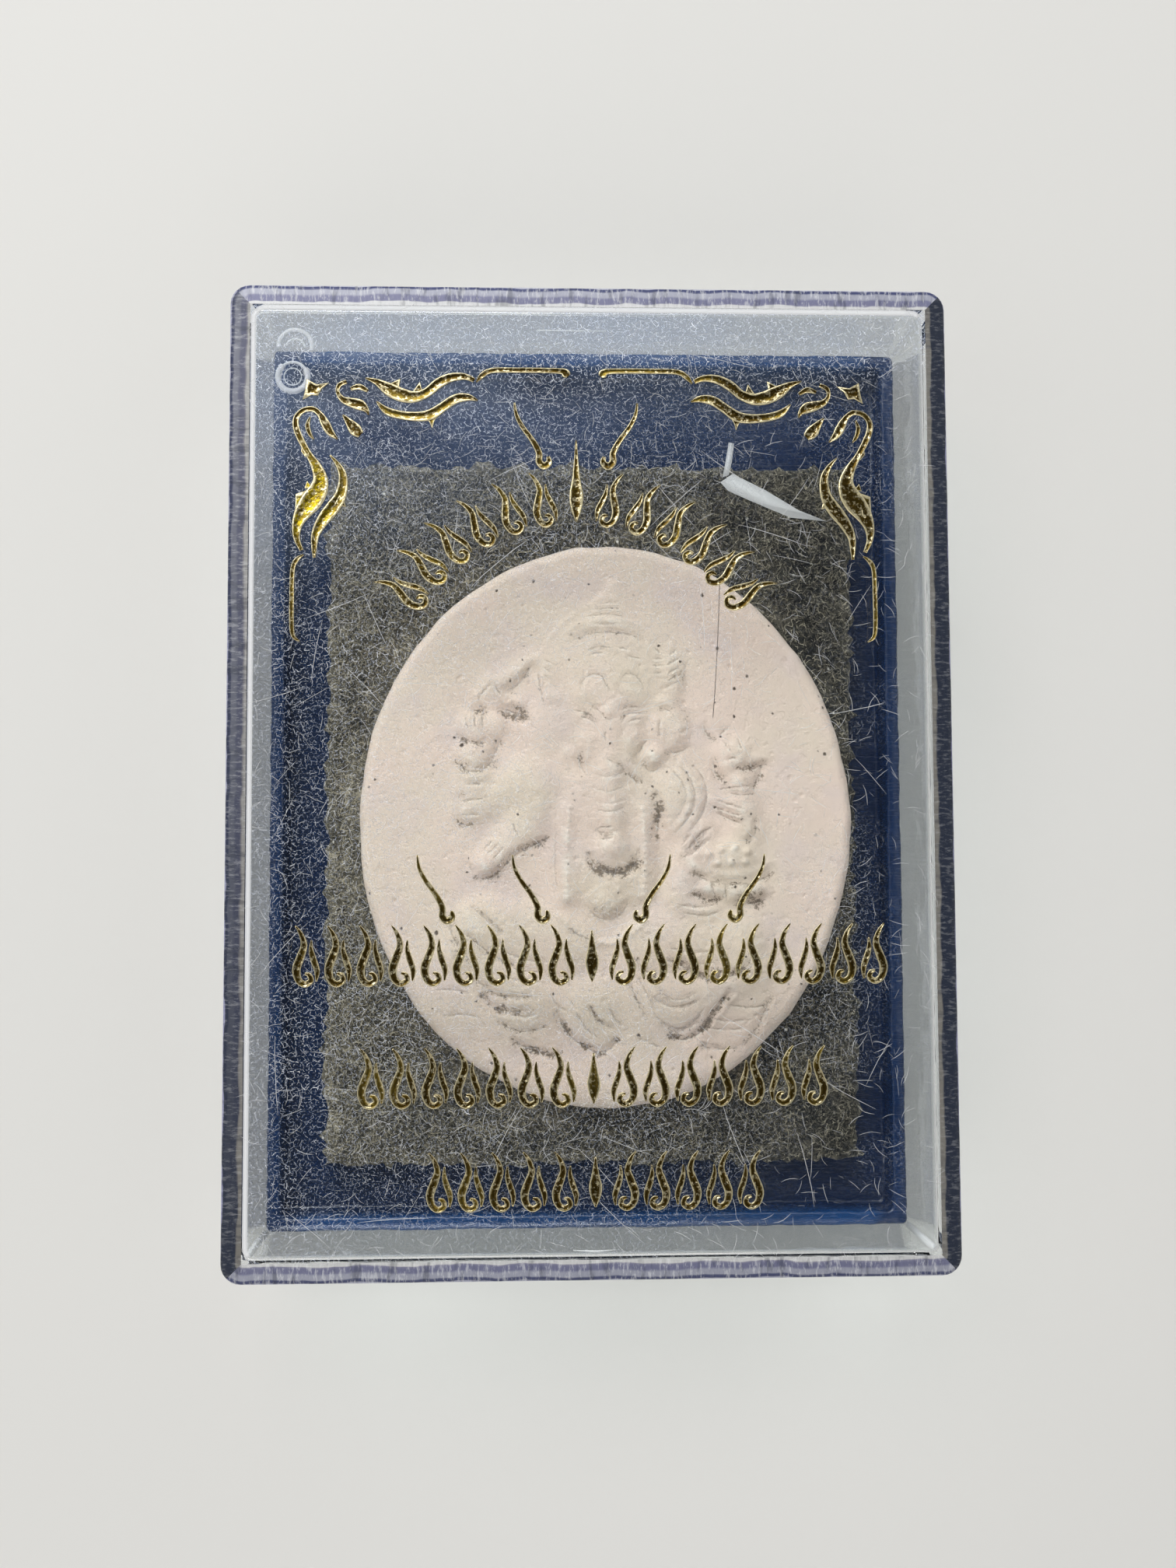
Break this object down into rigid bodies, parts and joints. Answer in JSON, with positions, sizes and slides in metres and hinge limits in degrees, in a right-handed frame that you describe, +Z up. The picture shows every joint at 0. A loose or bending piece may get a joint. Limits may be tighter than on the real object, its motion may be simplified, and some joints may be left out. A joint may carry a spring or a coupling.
{
  "type": "ganesha amulet in a plastic display case",
  "caption": "Oval pressed-clay amulet with a seated elephant-headed figure in relief, lying on a felt pad in a navy tray under a clear lid with gold foil ornament.",
  "frame": {"origin": "middle of the case's underside", "axes": "+Z up through the lid, +Y towards the figure's head along the case's long side, +X to the right across its short side"},
  "size_m": [0.058, 0.0792, 0.0166],
  "materials": {
    "tray_plastic": "gloss",
    "felt": "matte",
    "clay": "matte",
    "clear_plastic": "gloss",
    "gold_foil": "polished"
  },
  "bodies": {
    "root": {"base": "tray_plastic", "pad": "felt", "amulet": "clay", "lid": "clear_plastic", "foil_corner_left": "gold_foil", "foil_corner_right": "gold_foil", "foil_arch": "gold_foil", "foil_upper": "gold_foil", "foil_middle": "gold_foil", "foil_lower": "gold_foil"}
  },
  "joints": []
}
